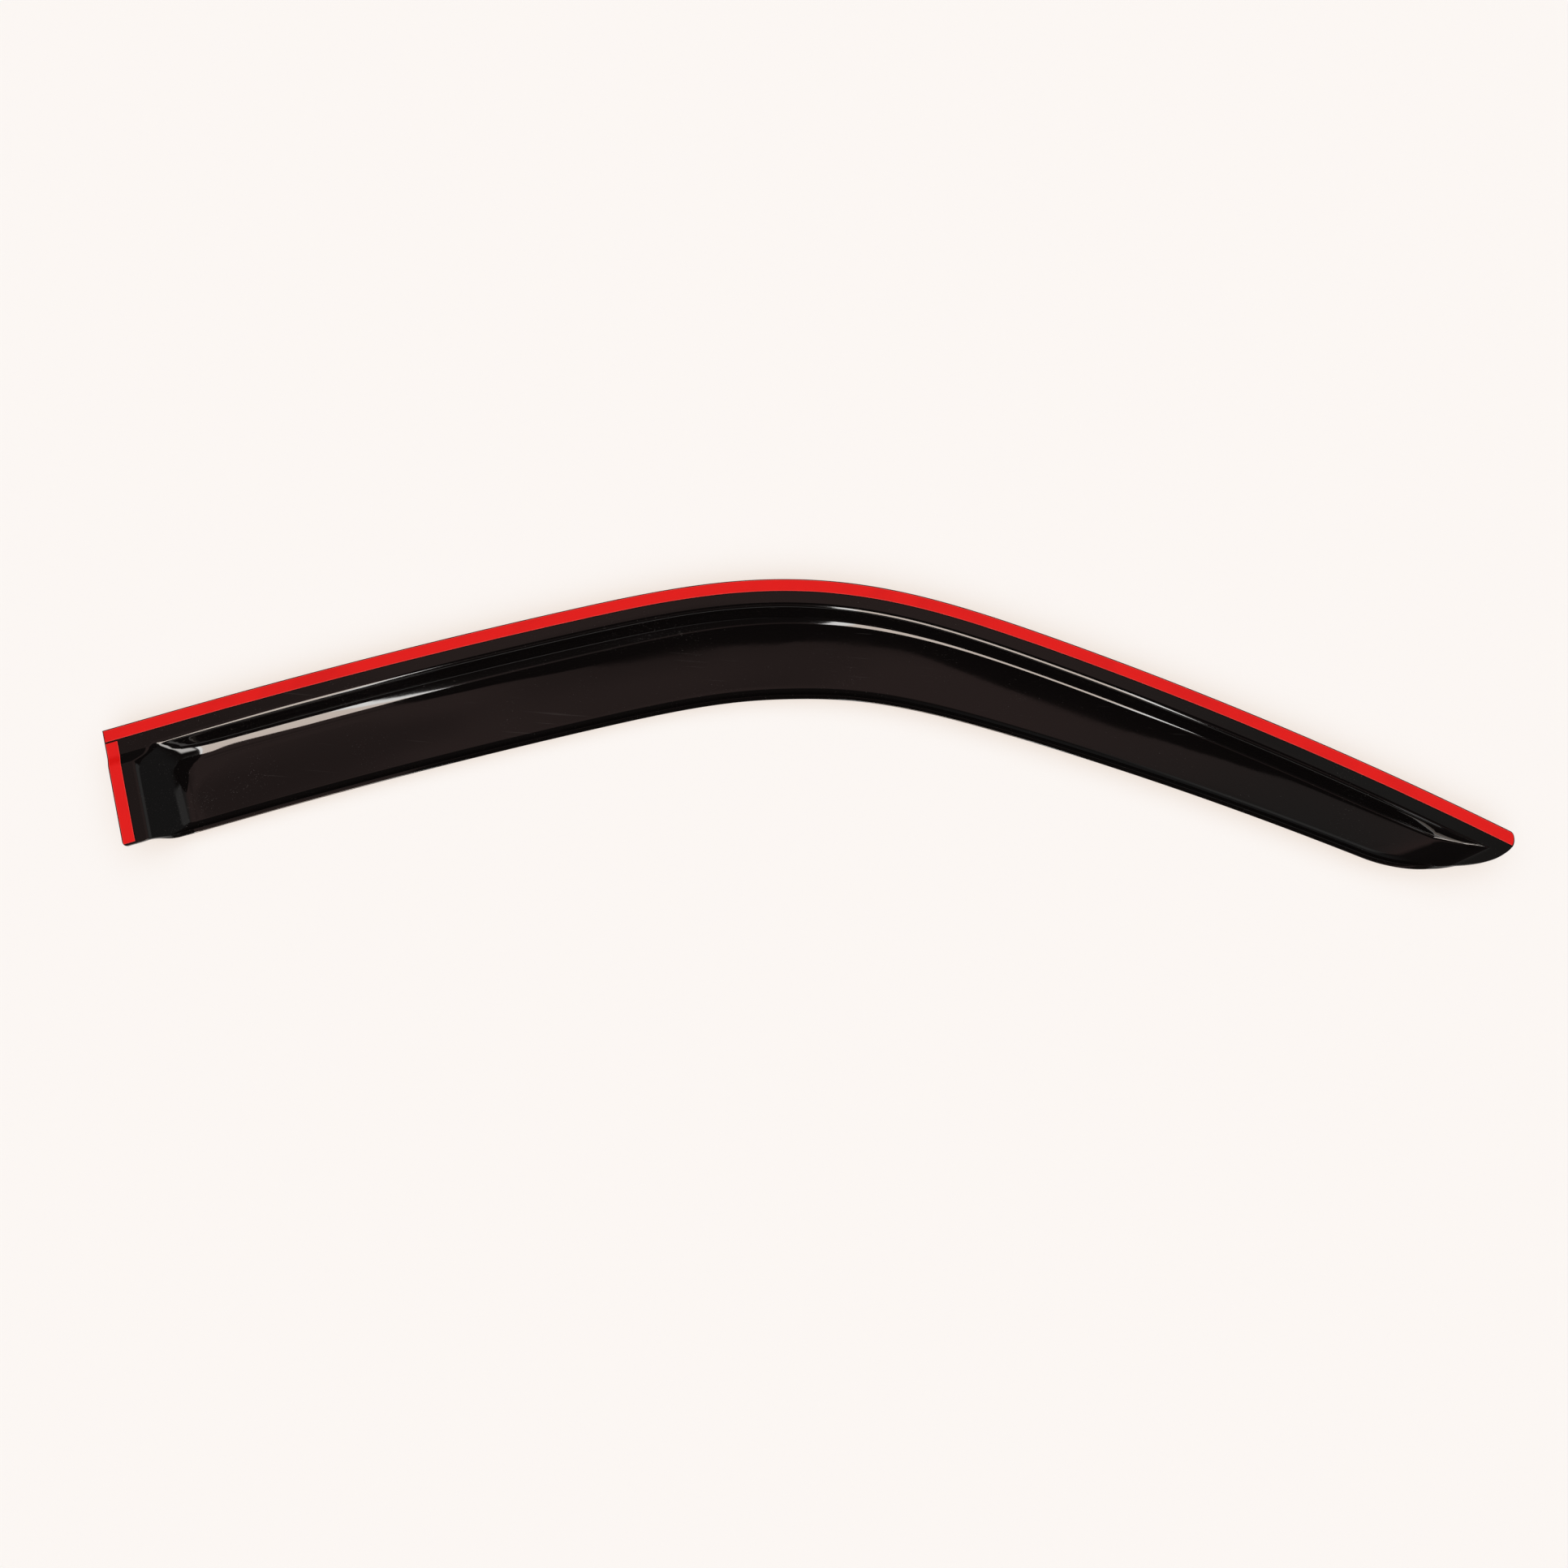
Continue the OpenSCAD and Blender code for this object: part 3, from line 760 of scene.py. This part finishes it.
class DEFLECTOR_OT_lay_top_tape(bpy.types.Operator):
    """Lay the foam tape and its liner along the upper edge"""
    bl_idname = "deflector.lay_top_tape"
    bl_label = "Lay the top tape"

    def execute(self, context):
        form = visor_form()
        tape = context.scene.deflector_tape

        def strip(height, rim, layer):
            first, last = tape.inset + rim, form.sizes.edge_length - tape.inset - rim
            s = along_strip(first, last, TOP_ENDS, 4 * MM, 480)[:, None]
            corner = round_drop(last - s, LINER_CORNER if layer == "liner" else FOAM_CORNER)
            near = tape.inset + rim + corner + np.abs(uneven(s, tape.wander, 1.0))
            far = tape.inset + tape.width - rim - np.abs(uneven(s, tape.wander, 2.3))
            t = near + (far - near) * ACROSS
            x, y = form.plan(s, t)
            points = np.stack([x, y, np.full(t.shape, height)], -1) + form.shift
            return points, np.minimum(t - near, far - t)

        tape_layers(context, "upper_tape", ("top_tape", "top_tape_liner"), strip)
        return {"FINISHED"}


class DEFLECTOR_OT_lay_end_tape(bpy.types.Operator):
    """Lay the shorter foam tape and its liner down the rear end, over the joggle"""
    bl_idname = "deflector.lay_end_tape"
    bl_label = "Lay the end tape"

    def execute(self, context):
        form = visor_form()
        z, tape = form.sizes, context.scene.deflector_tape
        first = tape.inset + tape.width + tape.gap
        last = float(form.width(tape.inset)) - z.sheet * math.sin(z.curl_angle) - tape.end_margin

        def strip(height, rim, layer):
            t = along_strip(first + rim, last - rim, END_ENDS, 2 * MM, 90)
            near = tape.inset + rim + np.abs(uneven(t, tape.wander, 0.4))
            far = tape.inset + tape.width - rim - np.abs(uneven(t, tape.wander, 3.1))
            s = near + (far - near) * ACROSS[:, None]
            x, y = form.plan(s, t)
            points = np.stack([x, y, height + form.joggle(s, t)], -1) + form.shift
            return points, np.minimum(s - near, far - s)

        tape_layers(context, "rear_tape", ("end_tape", "end_tape_liner"), strip)
        return {"FINISHED"}


# Stage

# Panes that only the glossy sheet mirrors: X range, Y and Z range in metres, and light
PANES = (
    ("warm_pane", (-0.27, -0.085), -1.25, (0.47, 1.9), (13.0, 11.2, 9.9)),
    ("clear_pane", (-0.085, -0.035), -1.25, (0.47, 1.9), (16.0, 15.8, 15.5)),
    ("near_pane", (0.29, 0.33), -0.55, (0.19, 0.45), (1.6, 1.6, 1.6)),
)

# Parts of the ceiling: elevations in degrees where it starts, the sideways direction that its
# low side keeps to, and the lengthways direction over which it grows cooler
CEILING_START = (58.0, 66.0)
LOW_CEILING_START = (42.0, 50.0)
LOW_CEILING_SIDE = (-0.10, 0.0)
FAR_CEILING_START = (0.08, 0.26)

# Low surroundings: elevations where they end, and azimuths between which there are none
HORIZON_END = (4.0, 11.0)
HORIZON_GAP = ((-140.0, -125.0), (-70.0, -55.0))

# Patches of the room: degrees of azimuth, then of elevation, over which each grows and fades
PATCHES = (
    ("haze", (-50.0, -20.0), (70.0, 90.0), (-91.0, -90.0), (40.0, 60.0)),
    ("glow", (30.0, 36.0), (60.0, 70.0), (38.0, 46.0), (63.0, 67.0)),
    ("hip", (-73.0, -71.0), (-58.0, -52.0), (16.0, 20.0), (28.0, 36.0)),
)


def paint_room(context):
    """Dim room with a few lighter parts, which the glossy sheet mirrors"""
    stage = context.scene.deflector_stage
    world = bpy.data.worlds.new("room")
    context.scene.world = world
    world.use_nodes = True
    w = Wiring(world.node_tree)
    w.tree.nodes.clear()
    sky = w.add("ShaderNodeTexCoord").outputs["Generated"]
    direction = w.add("ShaderNodeSeparateXYZ", {0: sky})
    path = w.add("ShaderNodeLightPath")
    along, side, height = (direction.outputs[axis] for axis in "XYZ")
    azimuth = w.math("MULTIPLY", w.math("ARCTAN2", side, along), 180 / math.pi)
    elevation = w.math("MULTIPLY", w.math("ARCSINE", height), 180 / math.pi)

    low_side = w.smooth(side, *LOW_CEILING_SIDE, 1.0, 0.0)
    low_ceiling = w.math("MULTIPLY", w.smooth(elevation, *LOW_CEILING_START), low_side)
    ceiling = w.math("MAXIMUM", w.smooth(elevation, *CEILING_START), low_ceiling)
    clouds = w.noise(sky, 5.0, 2.0)
    ceiling = w.math("MULTIPLY", ceiling, w.smooth(clouds, 0.35, 0.62, start=0.62, end=1.1))
    tint = w.mix(w.smooth(along, *FAR_CEILING_START), opaque(stage.ceiling), opaque(stage.far_ceiling))
    light = w.mix(ceiling, opaque(stage.gloom), tint)

    for name, left, right, low, high in PATCHES:
        share = w.math("MULTIPLY", w.band(azimuth, left, right), w.band(elevation, low, high))
        if name == "hip":
            share = w.math("MULTIPLY", share, path.outputs["Is Glossy Ray"])
        light = w.mix(share, light, opaque(getattr(stage, name)))

    around = w.math("SUBTRACT", 1.0, w.band(azimuth, *HORIZON_GAP))
    horizon = w.math("MULTIPLY", w.smooth(elevation, *HORIZON_END, 1.0, 0.0), around)
    light = w.mix(horizon, light, opaque(stage.horizon))
    light = w.mix(path.outputs["Is Camera Ray"], light, opaque(stage.floor))
    background = w.add("ShaderNodeBackground", {"Color": light, "Strength": 1.0})
    w.add("ShaderNodeOutputWorld", {"Surface": background.outputs[0]})


def hang_light(context, name, strength, softness, tilt, turn):
    """Distant soft light that the glossy sheet doesn't mirror"""
    lamp = bpy.data.lights.new(name, "SUN")
    lamp.energy = strength
    lamp.angle = math.radians(softness)
    holder = bpy.data.objects.new(name, lamp)
    holder.rotation_euler = (math.radians(tilt), 0, math.radians(turn))
    holder.visible_glossy = False
    context.scene.collection.objects.link(holder)


def lay_floor(context):
    """Pale floor, which shows its own colour and keeps the shadow of the part"""
    stage = context.scene.deflector_stage
    half = 8.0
    count = 9
    line = np.linspace(-half, half, count)
    points = [(x, y, 0.0) for x in line for y in line]
    faces = [(i * count + j, (i + 1) * count + j, (i + 1) * count + j + 1, i * count + j + 1)
             for i in range(count - 1) for j in range(count - 1)]
    mesh = bpy.data.meshes.new("floor")
    mesh.from_pydata(points, [], faces)
    material, w, shader, _ = finish_material("pale_floor")
    path = w.add("ShaderNodeLightPath")
    seen = w.math("MAXIMUM", path.outputs["Is Camera Ray"], path.outputs["Is Glossy Ray"])
    shaded = [a * b for a, b in zip(stage.floor, stage.shadow_share)]
    w.tree.links.new(w.mix(seen, opaque(stage.floor), opaque(shaded)), shader.inputs["Base Color"])
    shader.inputs["Emission Color"].default_value = opaque([a - b for a, b in zip(stage.floor, shaded)])
    w.tree.links.new(seen, shader.inputs["Emission Strength"])
    shader.inputs["Roughness"].default_value = 0.9
    shader.inputs["Specular IOR Level"].default_value = 0.0
    mesh.materials.append(material)
    floor = bpy.data.objects.new("floor", mesh)
    context.scene.collection.objects.link(floor)


def hang(context, name, outline, light):
    """Flat card or pane that only the glossy sheet mirrors"""
    mesh = bpy.data.meshes.new(name)
    mesh.from_pydata(outline, [], [tuple(range(len(outline)))])
    material, _, shader, _ = finish_material(name)
    shader.inputs["Base Color"].default_value = (0.0, 0.0, 0.0, 1.0)
    shader.inputs["Specular IOR Level"].default_value = 0.0
    shader.inputs["Emission Color"].default_value = opaque(light)
    shader.inputs["Emission Strength"].default_value = 1.0
    mesh.materials.append(material)
    card = bpy.data.objects.new(name, mesh)
    context.scene.collection.objects.link(card)
    card.visible_camera = card.visible_diffuse = card.visible_shadow = card.visible_transmission = False


def dark_card():
    """Outline of the dark card round the camera, with its near edge rounded"""
    height, far, right = 1.36, -0.95, 0.66
    middle, crown, reach = 0.03, 0.302, 0.38
    left_half, right_half = 0.47, 0.65
    sweep, count = 62, 25
    rounds = []
    for a in np.radians(np.linspace(-sweep, sweep, count)):
        half = left_half if a < 0 else right_half
        rounds.append((middle + half * math.sin(a), crown - reach * (1 - math.cos(a)), height))
    left_side = [(-0.16, far, height), (-0.40, -0.05, height)]
    right_side = [(right, 0.0, height), (right, far, height)]
    return left_side + rounds + right_side


class DEFLECTOR_OT_set_stage(bpy.types.Operator):
    """Set out the floor, the room with its lights, and the camera"""
    bl_idname = "deflector.set_stage"
    bl_label = "Set the stage"

    def execute(self, context):
        stage = context.scene.deflector_stage
        paint_room(context)
        lay_floor(context)
        hang(context, "dark_card", dark_card(), (0.0, 0.0, 0.0))
        for name, (left, right), far, (low, high), light in PANES:
            outline = [(left, far, low), (right, far, low), (right, far, high), (left, far, high)]
            hang(context, name, outline, light)
        hang_light(context, "overhead_light", stage.overhead, softness=110, tilt=0, turn=0)
        hang_light(context, "front_light", stage.front, softness=50, tilt=40, turn=4)
        camera = bpy.data.cameras.new("camera")
        camera.sensor_width = 36
        camera.lens = stage.lens
        camera.shift_y = stage.lens_shift
        holder = bpy.data.objects.new("camera", camera)
        rear_corner = (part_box("visor_shell")[0][0], visor_form().shift[1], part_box("top_tape")[0][2])
        holder.location = [a + b for a, b in zip(rear_corner, stage.camera_reach)]
        holder.rotation_euler = (stage.camera_tilt, 0, stage.camera_turn)
        context.scene.collection.objects.link(holder)
        context.scene.camera = holder
        context.scene.view_settings.view_transform = "Standard"
        return {"FINISHED"}


class DEFLECTOR_PT_sidebar(bpy.types.Panel):
    """Builds the deflector piece by piece"""
    bl_label = "Deflector"
    bl_idname = "DEFLECTOR_PT_sidebar"
    bl_space_type = "VIEW_3D"
    bl_region_type = "UI"
    bl_category = "Deflector"

    def draw(self, context):
        for step in STEPS:
            self.layout.operator(step.bl_idname)


STEPS = (
    DEFLECTOR_OT_form_shell,
    DEFLECTOR_OT_lay_top_tape,
    DEFLECTOR_OT_lay_end_tape,
    DEFLECTOR_OT_set_stage,
)
GROUPS = {
    "deflector_visor": DEFLECTOR_PG_visor,
    "deflector_tape": DEFLECTOR_PG_tape,
    "deflector_finish": DEFLECTOR_PG_finish,
    "deflector_stage": DEFLECTOR_PG_stage,
}


def register():
    """Make the sizes, the steps and the panel known"""
    for group in GROUPS.values():
        bpy.utils.register_class(group)
    for name, group in GROUPS.items():
        setattr(bpy.types.Scene, name, PointerProperty(type=group))
    for step in STEPS:
        bpy.utils.register_class(step)
    bpy.utils.register_class(DEFLECTOR_PT_sidebar)


def unregister():
    """Take the panel, the steps and the sizes away again"""
    bpy.utils.unregister_class(DEFLECTOR_PT_sidebar)
    for step in reversed(STEPS):
        bpy.utils.unregister_class(step)
    for name, group in GROUPS.items():
        delattr(bpy.types.Scene, name)
        bpy.utils.unregister_class(group)


def main():
    """Build every piece and the stage"""
    register()
    bpy.ops.deflector.form_shell()
    bpy.ops.deflector.lay_top_tape()
    bpy.ops.deflector.lay_end_tape()
    bpy.ops.deflector.set_stage()


if __name__ == "__main__":
    main()
